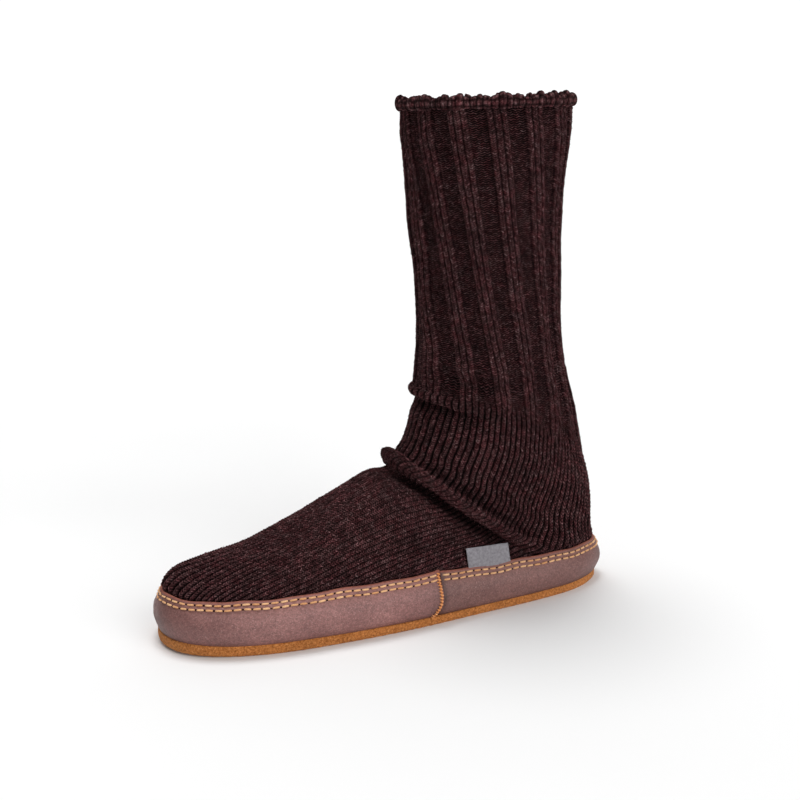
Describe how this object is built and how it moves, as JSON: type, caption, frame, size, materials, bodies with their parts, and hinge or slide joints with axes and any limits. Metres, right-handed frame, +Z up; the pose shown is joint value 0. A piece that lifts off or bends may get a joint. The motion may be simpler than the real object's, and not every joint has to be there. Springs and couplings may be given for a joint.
{
  "type": "slipper sock",
  "caption": "Tall knitted slipper sock for the left foot, with a ribbed shaft, a stitched leather side band, a flat suede sole and a padded insole.",
  "frame": {"origin": "on the floor under the middle of the bounding box", "axes": "+X toward the toe, +Y toward the outer side of the left foot, +Z up along the shaft"},
  "size_m": [0.2708, 0.095, 0.288],
  "materials": {
    "suede": "napped tan suede",
    "band_leather": "smooth dull brown leather with fine grain",
    "knit_wool": "dark brown heathered wool knit",
    "footbed": "brushed felt over soft foam",
    "label_cloth": "plain woven grey tape"
  },
  "bodies": {
    "root": {"outsole": "suede", "band_front": "band_leather", "band_rear": "band_leather", "sock": "knit_wool", "insole": "footbed", "label_tab": "label_cloth"}
  },
  "joints": []
}
